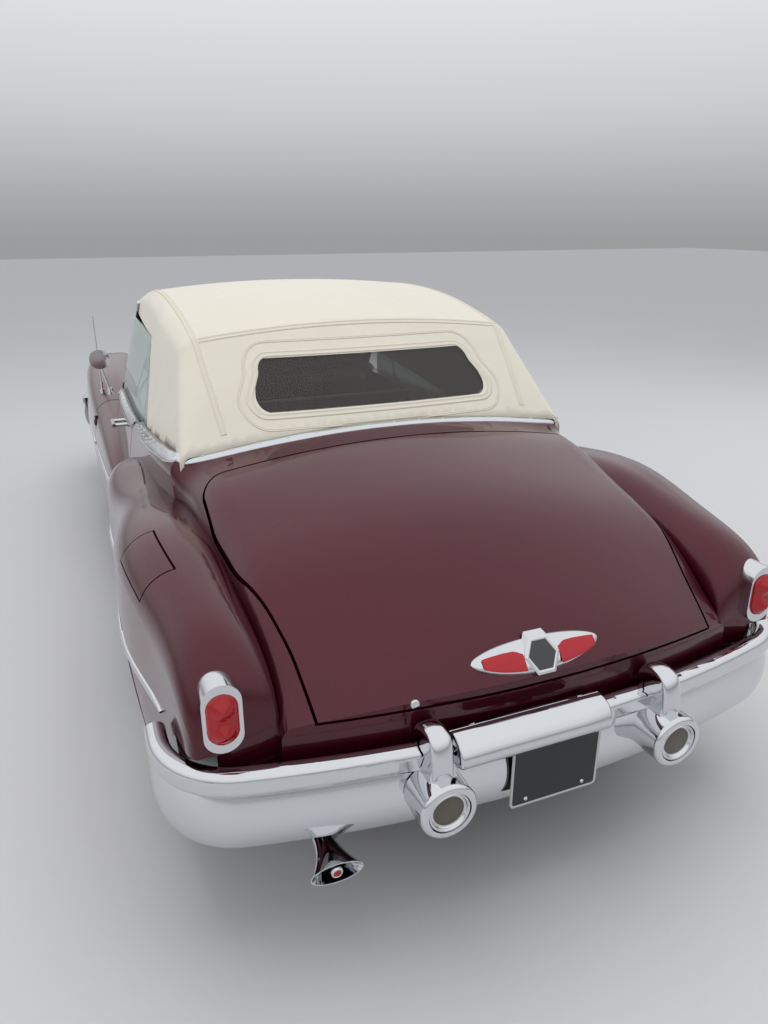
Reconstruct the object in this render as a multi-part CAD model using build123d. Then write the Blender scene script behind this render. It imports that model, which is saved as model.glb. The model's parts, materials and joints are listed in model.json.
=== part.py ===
from build123d import *
import os
from math import asin, atan2, cos, degrees, radians, sin

# A full-size two-door convertible of about 1950 with its soft top up.
# Millimetres, ground at Z = 0, nose towards -Y, driver's side +X.

# Wheels and axles
wheelbase = 3086.0
front_axle_y = -1756.0
rear_axle_y = front_axle_y + wheelbase
front_track = 1502.0
rear_track = 1580.0
tyre_radius = 360.0
tyre_width = 193.0
rim_radius = 190.5
rim_width = 152.0
axle_z = tyre_radius
kingpin_x = 655.0
kingpin_radius = 11.0
bearing_radius = 16.0
running_gap = 0.05

# Panels and gaps
panel = 14.0
wall = 40.0
seam = 8.0
swing = 6.0
floor_z = 300.0
floor_thick = 16.0
boot_floor_z = 500.0
sill_bottom = 232.0
door_bottom = 336.0
body_base = 250.0
fender_base = 262.0
tail_bow = 3540.0
tail_y = 2392.0

# Door opening, side view and plan
door_front = -850.0
door_rear = 300.0
door_inner_x = 748.0
door_bevel = 55.0
door_pivot_x = 962.0
door_pivot_back = 60.0
door_pivot_y = door_front + seam + door_pivot_back
hinge_pin = 8.0
hinge_heights = (480.0, 760.0)
hinge_half = 15.0
hinge_half_width = 11.0
hinge_room = 5.0

# Luggage lid
lid_front = 1428.0
lid_bottom = 705.0
lid_pivot_y = 1290.0
lid_pivot_z = 1108.0
lid_arm_x = 280.0
lid_arm_radius = 9.0
lid_boss_radius = 12.0
lid_boss_half = 15.0
lid_pin = 5.0
lid_panel = 22.0

# Bonnet
hood_front = -2385.0
hood_rear = -1010.0
hood_gap = 6.0
# Where the bonnet's side cut runs, y and z, below the valley between nose and fenders
hood_cut = ((-2379.0, 745.0), (-2050.0, 826.0), (-1500.0, 852.0), (-1010.0, 858.0))
hood_panel = 16.0

# Holes for a tow bracket in the rear cross-member
tow_y = 2250.0
tow_hole_x = 120.0
tow_hole_radius = 6.75

# Bumpers
bumper_bottom = 402.0
bumper_top = 632.0
bumper_tip_x = 985.0
bumper_bar = 46.0
bumper_corner = 170.0
bumper_groove = 566.0
front_bumper_top = 604.0
guard_x = 352.0
guard_half = 27.0
guard_top = 686.0
guard_z = 508.0
guard_radius = 78.0
guard_reach = 106.0
bridge_right = -145.0
bridge_left = 305.0
bracket_x = 425.0
bracket_top = 500.0

# Stations of the main body behind the belt, one row each:
# y, crown z, shoulder x, shoulder z, shoulder radius, side x, side z
deck_rows = (
    (1260.0, 1166.0, 796.0, 1098.0, 70.0, 768.0, 700.0),
    (1430.0, 1133.0, 765.0, 1055.0, 130.0, 745.0, 700.0),
    (1690.0, 1083.0, 755.0, 1000.0, 130.0, 725.0, 680.0),
    (1900.0, 1026.0, 735.0, 948.0, 110.0, 712.0, 660.0),
    (2060.0, 958.0, 720.0, 885.0, 80.0, 705.0, 640.0),
    (2180.0, 893.0, 710.0, 808.0, 60.0, 702.0, 600.0),
    (2290.0, 824.0, 706.0, 722.0, 50.0, 702.0, 500.0),
    (2410.0, 700.0, 704.0, 600.0, 40.0, 702.0, 450.0),
)

# Stations of the main body at the cabin, same columns
cabin_rows = (
    (-960.0, 1085.0, 755.0, 978.0, 60.0, 835.0, 700.0),
    (-500.0, 1010.0, 832.0, 962.0, 28.0, 892.0, 700.0),
    (0.0, 1005.0, 838.0, 968.0, 28.0, 892.0, 700.0),
    (500.0, 1050.0, 832.0, 1010.0, 30.0, 868.0, 700.0),
    (1000.0, 1110.0, 826.0, 1070.0, 40.0, 792.0, 700.0),
    (1260.0, 1166.0, 796.0, 1098.0, 70.0, 768.0, 700.0),
)

# Stations of the bonnet and nose, same columns
nose_rows = (
    (-2450.0, 815.0, 430.0, 760.0, 80.0, 625.0, 620.0),
    (-2350.0, 925.0, 440.0, 868.0, 110.0, 630.0, 740.0),
    (-2050.0, 1000.0, 500.0, 935.0, 130.0, 660.0, 800.0),
    (-1500.0, 1048.0, 600.0, 962.0, 110.0, 740.0, 780.0),
    (-960.0, 1085.0, 755.0, 978.0, 60.0, 835.0, 700.0),
)

# Stations of the front fender, which runs on across the door and fades there:
# y, inner x, crest z, crest x, crest radius, hip x, foot x
front_fender_rows = (
    (-2440.0, 600.0, 850.0, 850.0, 105.0, 875.0, 850.0),
    (-2330.0, 570.0, 905.0, 890.0, 125.0, 920.0, 895.0),
    (-2000.0, 600.0, 950.0, 935.0, 140.0, 972.0, 955.0),
    (-1500.0, 660.0, 945.0, 950.0, 130.0, 985.0, 965.0),
    (-1000.0, 700.0, 890.0, 950.0, 115.0, 984.0, 965.0),
    (-500.0, 740.0, 825.0, 945.0, 100.0, 975.0, 960.0),
    (0.0, 760.0, 745.0, 930.0, 80.0, 960.0, 950.0),
    (340.0, 780.0, 650.0, 905.0, 60.0, 935.0, 935.0),
)

# Stations of the rear fender, same columns
rear_fender_rows = (
    (335.0, 700.0, 790.0, 905.0, 90.0, 925.0, 930.0),
    (440.0, 700.0, 872.0, 945.0, 110.0, 962.0, 955.0),
    (800.0, 700.0, 925.0, 978.0, 125.0, 995.0, 975.0),
    (1300.0, 700.0, 965.0, 992.0, 130.0, 1010.0, 985.0),
    (1750.0, 700.0, 978.0, 985.0, 130.0, 1005.0, 975.0),
    (2100.0, 700.0, 925.0, 942.0, 118.0, 946.0, 925.0),
    (2240.0, 700.0, 868.0, 925.0, 108.0, 930.0, 900.0),
    (2298.0, 700.0, 700.0, 890.0, 85.0, 900.0, 880.0),
)

# Stations of the canvas roof, to the rear bow and then down to the belt:
# y, crown z, rail x, rail z, rail radius, foot x, foot z
roof_rows = (
    (-700.0, 1508.0, 660.0, 1452.0, 60.0, 775.0, 940.0),
    (-200.0, 1566.0, 668.0, 1525.0, 80.0, 790.0, 940.0),
    (250.0, 1580.0, 685.0, 1535.0, 90.0, 795.0, 940.0),
    (960.0, 1490.0, 678.0, 1440.0, 85.0, 800.0, 940.0),
)
back_rows = (
    (960.0, 1490.0, 678.0, 1440.0, 85.0, 800.0, 940.0),
    (1120.0, 1336.0, 718.0, 1286.0, 90.0, 792.0, 940.0),
    (1290.0, 1165.0, 760.0, 1110.0, 40.0, 765.0, 940.0),
)
roof_thick = 14.0


def crowned_section(row, base, inset=0.0):
    """Symmetric section: crown arc, rounded shoulders, sloping sides, flat base."""
    y, crown_z, knee_x, knee_z, knee_r, side_x, side_z = row
    crown_z, knee_z = crown_z - inset, knee_z - inset
    knee_x, side_x = knee_x - inset, side_x - inset
    right = [Vector(knee_x, y, knee_z), Vector(side_x, y, side_z), Vector(side_x, y, base)]
    left = [Vector(-p.X, p.Y, p.Z) for p in reversed(right)]
    crown = Edge.make_three_point_arc(left[-1], Vector(0, y, crown_z), right[0])
    chain = right + left
    wire = Wire([crown] + [Edge.make_line(a, b) for a, b in zip(chain, chain[1:])])
    knees = [v for v in wire.vertices() if abs(v.Z - knee_z) < 0.001]
    return wire.fillet_2d(max(knee_r - inset, panel), knees)


def roof_section(row, inset=0.0):
    """Section of the canvas: the same family, ending at the rail's foot."""
    y, crown_z, rail_x, rail_z, rail_r, foot_x, foot_z = row
    crown_z, rail_z = crown_z - inset, rail_z - inset
    rail_x, foot_x = rail_x - inset, foot_x - inset
    crown = Edge.make_three_point_arc(
        Vector(-rail_x, y, rail_z), Vector(0, y, crown_z), Vector(rail_x, y, rail_z))
    right = [Vector(rail_x, y, rail_z), Vector(foot_x, y, foot_z)]
    left = [Vector(-p.X, p.Y, p.Z) for p in reversed(right)]
    chain = right + left
    wire = Wire([crown] + [Edge.make_line(a, b) for a, b in zip(chain, chain[1:])])
    rails = [v for v in wire.vertices() if abs(v.Z - rail_z) < 0.001]
    return wire.fillet_2d(max(rail_r - inset, panel), rails)


def fender_section(row, base, inset=0.0):
    """Left-hand fender: upright inner side, round crest, bowed outer side."""
    y, inner_x, crest_z, crest_x, crest_r, hip_x, foot_x = row
    inner_x, crest_z = inner_x + inset, crest_z - inset
    crest_x, hip_x, foot_x = crest_x - inset, hip_x - inset, foot_x - inset
    hip_z = base + (crest_z - base) * 0.5
    corners = [Vector(foot_x, y, base), Vector(inner_x, y, base),
               Vector(inner_x, y, crest_z), Vector(crest_x, y, crest_z)]
    side = Edge.make_three_point_arc(corners[-1], Vector(hip_x, y, hip_z), corners[0])
    wire = Wire([Edge.make_line(a, b) for a, b in zip(corners, corners[1:])] + [side])
    crest = [v for v in wire.vertices() if abs(v.Z - crest_z) < 0.001]
    return wire.fillet_2d(crest_r - inset, crest)


def loft_through(section, rows, **options):
    return Solid.make_loft([section(row, **options) for row in rows])


def block(x0, x1, y0, y1, z0, z1):
    size = Box(x1 - x0, y1 - y0, z1 - z0)
    return size.moved(Location(((x0 + x1) / 2, (y0 + y1) / 2, (z0 + z1) / 2)))


def rod(start, end, radius):
    a, b = Vector(*start), Vector(*end)
    plane = Plane(origin=a, z_dir=b - a)
    return Solid.make_cylinder(radius, (b - a).length, plane)


def across(radius, x0, x1, y, z):
    """A round bar or cutter that lies across the car."""
    return rod((x0, y, z), (x1, y, z), radius)


def mirrored(shape):
    return shape.mirror(Plane.YZ)


def rounded_prism(points, z0, z1, radii):
    """A prism whose plan corners are rounded, one radius a corner, 0 for a sharp one."""
    wire = Wire.make_polygon([Vector(x, y, z0) for x, y in points])
    for radius in sorted(set(radii) - {0}):
        corners = [Vector(x, y, z0) for (x, y), r in zip(points, radii) if r == radius]
        picked = [v for v in wire.vertices() if any((Vector(v.X, v.Y, v.Z) - c).length < 0.01 for c in corners)]
        wire = wire.fillet_2d(radius, picked)
    return Solid.extrude(Face(wire), Vector(0, 0, z1 - z0))


def prism(points, z0, z1):
    face = Face(Wire.make_polygon([Vector(x, y, z0) for x, y in points]))
    return Solid.extrude(face, Vector(0, 0, z1 - z0))


def pair(shape):
    return Compound(children=[shape, mirrored(shape)])


def save(name, shape):
    export_step(shape, f"parts/{name}.step")


os.makedirs("parts", exist_ok=True)

# Main volumes
deck = loft_through(crowned_section, deck_rows, base=body_base)
deck_inner = loft_through(crowned_section, deck_rows, base=body_base - wall, inset=lid_panel)
cabin = loft_through(crowned_section, cabin_rows, base=body_base)
nose = loft_through(crowned_section, nose_rows, base=body_base)
nose_inner = loft_through(crowned_section, nose_rows, base=body_base - wall, inset=hood_panel)
front_pontoon = loft_through(fender_section, front_fender_rows, base=fender_base)
front_pontoon_inner = loft_through(
    fender_section, front_fender_rows, base=fender_base - wall, inset=panel)
rear_pontoon = loft_through(fender_section, rear_fender_rows, base=fender_base)
rear_pontoon_inner = loft_through(
    fender_section, rear_fender_rows, base=fender_base - wall, inset=panel)
tail_limit = Solid.make_cylinder(tail_bow, 2000, Plane((0, tail_y - tail_bow, 0)))
core = cabin + deck


def door_plan(gap):
    """Plan of the left door. Its rear edge is bevelled so the inner corner swings clear."""
    rear_in = door_rear - seam - door_bevel + gap
    rear_out = door_rear - seam + gap
    far = 1100.0
    slope = (rear_out - rear_in) / (door_pivot_x - door_inner_x)
    return [(door_inner_x - gap, door_front + seam - gap), (far, door_front + seam - gap),
            (far, rear_in + slope * (far - door_inner_x)), (door_inner_x - gap, rear_in)]


# Corners of the luggage lid in plan: x, y, radius
lid_corners = ((718.0, lid_front, 90.0), (724.0, 1690.0, 500.0), (704.0, 1900.0, 500.0),
               (664.0, 2050.0, 500.0), (632.0, 2190.0, 500.0), (600.0, 2500.0, 0.0))


def lid_prism(gap, low):
    """The lid's outline grown by a gap: straight front edge, round corners, sides drawn in aft."""
    right = [(x + gap, y - (gap if y == lid_front else 0.0)) for x, y, r in lid_corners]
    radii = [r + gap if r else 0 for x, y, r in lid_corners]
    return rounded_prism(right + [(-x, y) for x, y in reversed(right)], low, 1300.0, radii + radii[::-1])


def side_prism(points, x0, x1):
    """A prism across the car from (y, z) corners."""
    face = Face(Wire.make_polygon([Vector(x0, y, z) for y, z in points]))
    return Solid.extrude(face, Vector(x1 - x0, 0, 0))


def front_prism(points, y0, y1):
    """A prism along the car from (x, z) corners."""
    face = Face(Wire.make_polygon([Vector(x, y0, z) for x, z in points]))
    return Solid.extrude(face, Vector(0, y1 - y0, 0))


# Doors
door_side = (cabin + front_pontoon) - block(
    0, 803.0, door_front - wall, door_rear + wall, 940.0, 1200.0)
door_shape = door_side & prism(door_plan(0.0), door_bottom, 1200.0)
door_opening = prism(door_plan(seam), door_bottom - seam, 1300.0)

# Door hinges: straps from the pillar end on pins, and the door turns on them in pockets
strap_root = Vector(door_inner_x + 22.0, door_front - 12.0)
strap_pin = Vector(door_pivot_x, door_pivot_y)
strap_angle = degrees(atan2(strap_root.Y - strap_pin.Y, strap_root.X - strap_pin.X))
pocket_reach = 200.0
door_travel = 65.0


def strap(half_high, half_wide, turn=0.0, reach=None):
    """One hinge strap about the pin, or the room that it needs when the door has turned."""
    long = reach or (strap_root - strap_pin).length
    bar = block(0, long, -half_wide, half_wide, -half_high, half_high)
    bar += Solid.make_cylinder(half_wide + 3.0, 2 * half_high, Plane((0, 0, -half_high)))
    return bar.moved(Location((0, 0, 0), (0, 0, strap_angle + turn)))


door_straps = []
for z in hinge_heights:
    at_hinge = Location((door_pivot_x, door_pivot_y, z))
    pin_low, pin_high = (door_pivot_x, door_pivot_y, z - 40.0), (door_pivot_x, door_pivot_y, z + 40.0)
    door_straps.append(strap(hinge_half, hinge_half_width).moved(at_hinge) + rod(pin_low, pin_high, hinge_pin))
    pocket = strap(hinge_half + hinge_room, hinge_half_width + hinge_room, 0.0, pocket_reach)
    for turn in range(13, int(door_travel) + 1, 13):
        pocket += strap(hinge_half + hinge_room, hinge_half_width + hinge_room, turn, pocket_reach)
    door_shape -= pocket.moved(at_hinge)
    door_shape -= rod(pin_low, pin_high, hinge_pin + running_gap)
door_shape = door_shape.solids().sort_by(SortBy.VOLUME)[-1]


def glass_x(z):
    return 792.0 - (z - 944.0) * 0.19


def side_pane(corners, thick, shift=0.0):
    face = Face(Wire.make_polygon([Vector(glass_x(z) - thick - shift, y, z) for y, z in corners]))
    return Solid.extrude(face, Vector(thick, 0, 0))


glass_rear = door_rear - 2 * seam
glass_top = 1376.0
glass_foot_rear, glass_step = 228.0, 1002.0
door_glass = side_pane(((-772.0, 942.0), (glass_foot_rear, 942.0), (glass_foot_rear, glass_step),
                        (glass_rear, glass_step), (glass_rear, glass_top), (-560.0, glass_top)), 6.0)
vent_post = side_pane(((-470.0, 948.0), (-450.0, 948.0), (-420.0, 1366.0), (-440.0, 1366.0)), 5.0, 6.5)
handle = rod((903.0, -95.0, 925.0), (903.0, 40.0, 930.0), 9.0)
handle += rod((830.0, -85.0, 925.0), (903.0, -85.0, 925.0), 8.0)
handle += rod((830.0, 30.0, 930.0), (903.0, 30.0, 930.0), 8.0)
handle -= door_shape
for side, shape in (("left", lambda s: s), ("right", mirrored)):
    save(f"door_{side}", shape(door_shape))
    save(f"door_glass_{side}", shape(door_glass))
    save(f"door_handle_{side}", shape(handle))
    save(f"vent_post_{side}", shape(vent_post))

# Round mirror on the driver's door
mirror_x, mirror_y, mirror_z, mirror_radius = 905.0, -700.0, 1130.0, 53.0
mirror_head = rod((mirror_x, mirror_y, mirror_z), (mirror_x, mirror_y - 14.0, mirror_z), mirror_radius)
mirror_head += Solid.make_sphere(mirror_radius - 4.0).moved(
    Location((mirror_x, mirror_y - 10.0, mirror_z))) & block(
    mirror_x - 60, mirror_x + 60, mirror_y - 36.0, mirror_y - 5.0, mirror_z - 60, mirror_z + 60)
mirror_head += rod((mirror_x, mirror_y - 18.0, mirror_z - 30.0), (868.0, mirror_y - 18.0, 948.0), 6.0)
mirror_head += rod((868.0, mirror_y - 18.0, 930.0), (868.0, mirror_y - 18.0, 966.0), 15.0)
save("door_mirror", mirror_head - door_shape)

# Luggage lid with its two goosenecks
tail_inner = Solid.make_cylinder(tail_bow - lid_panel, 2000, Plane((0, tail_y - tail_bow, 0)))
deck_shell = (deck & tail_limit) - (deck_inner & tail_inner)
lid_zone = lid_prism(0.0, lid_bottom)
lid_opening = lid_prism(seam, lid_bottom - seam)
arm_steps = ((0.0, 0.0), (60.0, -165.0), (212.0, -104.0), (238.0, -14.0))  # from the pivot: aft, up
arm_route = FilletPolyline(*[(lid_arm_x, lid_pivot_y + aft, lid_pivot_z + up) for aft, up in arm_steps],
                           radius=34.0)
arm = sweep(Plane(origin=arm_route @ 0, z_dir=arm_route % 0) * Circle(lid_arm_radius), path=arm_route)
arm += across(lid_boss_radius, lid_arm_x - lid_boss_half, lid_arm_x + lid_boss_half, lid_pivot_y, lid_pivot_z)
arm -= across(lid_pin + running_gap, lid_arm_x - 40.0, lid_arm_x + 40.0, lid_pivot_y, lid_pivot_z)
trunk_lid = (deck_shell & lid_zone).solids().sort_by(SortBy.VOLUME)[-1]
trunk_lid = trunk_lid + arm + mirrored(arm)
save("trunk_lid", trunk_lid)

# Body shell: cowl, pillars, sills, quarters, deck surround and tail
cowl = (cabin + nose) & block(-900, 900, hood_rear + seam, door_front, body_base, 1200)
cowl -= block(-door_inner_x, door_inner_x, hood_rear + 26.0, door_front + 1, 0, 955.0)
cowl -= block(-door_inner_x, door_inner_x, hood_rear, door_front + 1, 0, floor_z + floor_thick)
sill = (cabin + front_pontoon) & block(
    door_inner_x, 1000, door_front + seam, door_rear + 30.0, body_base, door_bottom - seam)
sill += cabin & block(door_inner_x, 1000, hood_rear + seam, door_front + seam, body_base, door_bottom - seam)
quarters = (cabin & block(-900, 900, 200.0, 1260.0, body_base, 1200)) - door_opening
quarters -= mirrored(door_opening)
quarters -= prism([(-786, 150), (786, 150), (786, 560), (690, 860), (690, 1185), (-690, 1185),
                   (-690, 860), (-786, 560)], 0, 1300)
quarters -= block(-660, 660, 1197, 1300, 0, 1125)
quarters -= block(-660, 660, 1150, 1300, 0, boot_floor_z + floor_thick)
shell = cowl + sill + mirrored(sill) + quarters + (deck_shell - lid_opening)
wheel_cut = across(400.0, 655.0, 1100.0, rear_axle_y, axle_z)
drum = across(410.0, 645.0, 720.0, rear_axle_y, axle_z) & block(600, 800, 800, 2000, 425.0, 1000)
shell = shell + drum + mirrored(drum) - wheel_cut - mirrored(wheel_cut)
tail_sweep = side_prism(((2060.0, 200.0), (2600.0, 200.0), (2600.0, 470.0), (2360.0, 424.0), (2200.0, 360.0),
                         (2060.0, 256.0)), -1100.0, 1100.0)
bracket_room = block(bracket_x - 10, bracket_x + 60, 2200, 2500, 400, bracket_top + 10)
shell = shell - tail_sweep - bracket_room - mirrored(bracket_room)
ear_gap = lid_boss_half + 3.0
ear_height = 1160.0 - lid_pivot_z
for ear_x in (lid_arm_x - ear_gap - 4.0, lid_arm_x + ear_gap):
    ear = block(ear_x, ear_x + 4.0, lid_pivot_y - 14, lid_pivot_y + 14, lid_pivot_z - 12, lid_pivot_z + ear_height)
    ear = ear & (deck + cabin)
    shell = shell + ear + mirrored(ear)
lid_pin_bar = across(lid_pin, lid_arm_x - ear_gap - 4.0, lid_arm_x + ear_gap + 4.0, lid_pivot_y, lid_pivot_z)
shell = shell + lid_pin_bar + mirrored(lid_pin_bar)
for leaf in door_straps:
    shell = shell + leaf + mirrored(leaf)
save("body_shell", shell)

# Fixed quarter panes between the door glass and the canvas
quarter_pane = side_pane(((door_rear, 950.0), (424.0, 950.0), (424.0, 1060.0), (334.0, 1385.0),
                          (door_rear, 1385.0)), 6.0) - quarters
quarter_pane = quarter_pane.solids().sort_by(SortBy.VOLUME)[-1]
save("quarter_panes", pair(quarter_pane))

# Front fenders, open over the wheels
front_arch = across(366.0, 700.0, 1100.0, front_axle_y, 348.0)
steer_room = block(300, 1000 - 20, front_axle_y - 440, front_axle_y + 440, 0, 770)
front_cavity = front_pontoon_inner & block(
    0, 1100, front_fender_rows[0][0] + panel, door_front - panel, 0, 1200)
front_fender = (front_pontoon & block(0, 1100, -2600, door_front, 0, 1200)) - front_cavity
front_fender = front_fender - (nose + cabin) - front_arch
front_fender -= block(300, 930, front_axle_y - 440, front_axle_y + 440, 0, 770)
front_fender = front_fender.solids().sort_by(SortBy.VOLUME)[-1]
save("front_fenders", pair(front_fender))

# Rear fenders and their skirts
rear_cavity = rear_pontoon_inner & block(
    0, 1100, rear_fender_rows[0][0] + panel, rear_fender_rows[-1][0] - panel - 2.0, 0, 1200)
rear_shell = ((rear_pontoon - rear_cavity) - core) - door_opening
skirt_zone = across(372.0, 900.0, 1100.0, rear_axle_y, 330.0)
skirt_hole = across(376.0, 900.0, 1100.0, rear_axle_y, 330.0)
tuck = block(755, 1100, 2130, 2500, 0, 652) - rod((764, 2130, 0), (764, 2130, 700), 179.0)
rear_fender = (rear_shell - skirt_hole - wheel_cut - tuck - tail_sweep).solids().sort_by(SortBy.VOLUME)[-1]
skirt = (rear_shell & skirt_zone).solids().sort_by(SortBy.VOLUME)[-1]

# Fuel flap over the left rear fender's shoulder
flap_mid = Vector(925.0, 1745.0, 925.0)
flap_plane = Plane(origin=flap_mid, x_dir=Vector(0, 1, 0), z_dir=Vector(0.72, 0, 0.69))
flap_half_y, flap_half = 118.0, 62.0


def flap_block(grow):
    size = Box(2 * (flap_half_y + grow), 2 * (flap_half + grow), 160.0)
    return flap_plane.location * size


flap = rear_fender & flap_block(0.0)
flap = flap.solids().sort_by(SortBy.VOLUME)[-1]
rear_fender_left = rear_fender - flap_block(5.0)
save("fuel_flap", flap)
save("rear_fenders", Compound(children=[rear_fender_left, mirrored(rear_fender)]))
save("fender_skirts", pair(skirt))

# Bonnet and nose panel
hood_zone = side_prism(hood_cut + ((hood_rear, 1300.0), (hood_front + hood_gap, 1300.0)), -900, 900)
nose_shell = nose - (nose_inner & block(-900, 900, -2434.0, -900, 0, 1200))
hood_limit = loft_through(fender_section, front_fender_rows, base=fender_base, inset=-hood_gap)
hood = (nose_shell & hood_zone) - hood_limit - mirrored(hood_limit)
hood = hood.solids().sort_by(SortBy.VOLUME)[-1]
save("hood", hood)
nose_panel = nose_shell & block(-900, 900, -2600, hood_front, 510, 1200)
nose_panel -= block(-400, 400, -2600, -2430, 530, 740)
nose_panel = (nose_panel - front_pontoon - mirrored(front_pontoon)).solids().sort_by(SortBy.VOLUME)[-1]
save("nose_panel", nose_panel)
grille_bars, grille_pitch, grille_top, grille_low, bar_radius = 11, 68.0, 752.0, 520.0, 15.0
grille_half = grille_pitch * (grille_bars - 1) / 2
grille = block(-grille_half - 40, grille_half + 40, -2478.0, -2450.5, grille_top - 9, grille_top + 9)
grille += block(-grille_half - 40, grille_half + 40, -2478.0, -2450.5, grille_low - 8, grille_low + 8)
for k in range(grille_bars):
    x = k * grille_pitch - grille_half
    grille += rod((x, -2470.0, grille_low), (x, -2470.0, grille_top), bar_radius)
grille = grille & block(-900, 900, -2600.0, -2450.5, 0, 1200)
save("grille", grille)

# Inner wheelhouses at the front
house = across(440.0, 436.0, 640.0, front_axle_y, axle_z) - across(433.0, 443.0, 700.0, front_axle_y, axle_z)
house = house & block(0, 800, -2400, -1000, 300, 900)
house = house - block(400, 460, front_axle_y - 60, front_axle_y + 60, 200, 515)
save("inner_fenders", pair(house.solids().sort_by(SortBy.VOLUME)[-1]))


# Bumpers
def bumper_path(face_y, tip_y, sweep_back, tail):
    """Plan of a wraparound bumper: straight end, tight corner and bowed middle, all tangent."""
    knee_x = bumper_tip_x - bumper_corner
    bow = (knee_x ** 2 + sweep_back ** 2) / (2 * sweep_back)
    lean = knee_x / bow
    corner = bumper_corner / (1 - lean)
    knee = Vector(knee_x, face_y - tail * sweep_back, 0)
    centre = Vector(knee_x - corner * lean, knee.Y - tail * corner * (1 - lean ** 2) ** 0.5, 0)
    half = (radians(90) - asin(lean)) / 2
    middle = centre + Vector(corner * cos(half), tail * corner * sin(half), 0)
    straight = Vector(bumper_tip_x, centre.Y, 0)
    tip = Vector(bumper_tip_x, tip_y, 0)

    def flip(v):
        return Vector(-v.X, v.Y, v.Z)

    return Wire([
        Edge.make_line(tip, straight),
        Edge.make_three_point_arc(straight, middle, knee),
        Edge.make_three_point_arc(knee, Vector(0, face_y, 0), flip(knee)),
        Edge.make_three_point_arc(flip(knee), flip(middle), flip(straight)),
        Edge.make_line(flip(straight), flip(tip))])


def crowned_bar(path, low, high, back, front, crown):
    """A bar with a flat back and a crowned face, swept along the bumper's plan."""
    half = (high - low) / 2
    face = Edge.make_three_point_arc(Vector(front, -half), Vector(front + crown, 0), Vector(front, half))
    outline = Face(Wire([Edge.make_line(Vector(-back, -half), Vector(front, -half)), face,
                         Edge.make_line(Vector(front, half), Vector(-back, half)),
                         Edge.make_line(Vector(-back, half), Vector(-back, -half))]))
    start = (path @ 0) + Vector(0, 0, (high + low) / 2)
    placed = Plane(origin=start, x_dir=Vector(1, 0, 0), z_dir=path % 0) * outline
    return sweep(placed, path=path.moved(Location((0, 0, (high + low) / 2))))


def bar_along(path, low, high, depth, round_r):
    outline = RectangleRounded(depth, high - low, round_r)
    start = (path @ 0) + Vector(0, 0, (high + low) / 2)
    placed = Plane(origin=start, x_dir=Vector(1, 0, 0), z_dir=path % 0) * outline
    lifted = path.moved(Location((0, 0, (high + low) / 2)))
    return sweep(placed, path=lifted)


def guard_at(face_y, tail):
    """Left bumper guard: a hooked rib over the bar, a spreading web and a lamp-like round."""
    def along(out, z):
        return (face_y + tail * out, z)
    rib = side_prism([along(-52, 604), along(-52, guard_top - 34), along(-34, guard_top - 10),
                      along(14, guard_top), along(42, guard_top - 12), along(56, guard_top - 46),
                      along(64, 560), along(64, 470), along(-10, 470), along(-10, 604)],
                     guard_x - guard_half, guard_x + guard_half)
    rows = ((guard_top - 60, guard_half - 4, 50.0), (560.0, 44.0, 66.0), (guard_z, guard_radius - 4, 84.0))
    web = Solid.make_loft([Wire.make_polygon([Vector(guard_x + a * wide, face_y + tail * out, z) for a, out in
                                              ((-1, 10), (1, 10), (1, deep), (-1, deep))])
                           for z, wide, deep in rows], True)
    round_end = rod((guard_x, face_y, guard_z), (guard_x, face_y + tail * guard_reach, guard_z), guard_radius)
    round_end = fillet(round_end.edges().filter_by(GeomType.CIRCLE).group_by(Axis.Y)[
        -1 if tail > 0 else 0], 12.0)
    dish = rod((guard_x, face_y + tail * (guard_reach - 14), guard_z),
               (guard_x, face_y + tail * (guard_reach + 5), guard_z), guard_radius - 20.0)
    return (rib + web + round_end) - dish


rear_path = bumper_path(2440.0, 2075.0, 95.0, 1.0)
rear_bumper = crowned_bar(rear_path, bumper_bottom, bumper_groove, 23.0, 8.0, 18.0)
rear_bumper += bar_along(rear_path, bumper_groove - 6.0, bumper_top, 56.0, 24.0)
guard = guard_at(2440.0, 1.0)
bridge = side_prism(((2405.0, 596.0), (2402.0, 640.0), (2436.0, 661.0), (2482.0, 652.0), (2508.0, 622.0),
                     (2503.0, 594.0), (2476.0, 586.0)), bridge_right, bridge_left)
bridge_slot = prism(((bridge_right + 40, 2424.0), (bridge_right + 60, 2412.0), (bridge_left - 85, 2412.0),
                     (bridge_left - 60, 2424.0), (bridge_left - 85, 2438.0), (bridge_right + 60, 2438.0)), 640.0, 700.0)
bracket = block(bracket_x, bracket_x + 50, 2250, 2420, 420, bracket_top)
rear_bumper = rear_bumper + guard + mirrored(guard) + bracket + mirrored(bracket) + bridge - bridge_slot
front_path = bumper_path(-2556.0, -2250.0, 50.0, -1.0)
front_bumper = crowned_bar(front_path, bumper_bottom, bumper_groove, 23.0, 5.0, 15.0)
front_bumper += bar_along(front_path, bumper_groove - 6.0, front_bumper_top, 44.0, 18.0)
front_guard = block(395, 470, -2594.0, -2535.0, 380.0, 700.0)
front_guard = fillet(front_guard.edges(), 16.0)
front_bracket = block(420, 470, -2550, -2382, 420, 500)
front_bumper = front_bumper + front_guard + mirrored(front_guard) + front_bracket + mirrored(front_bracket)
save("rear_bumper", rear_bumper)
save("front_bumper", front_bumper)

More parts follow.
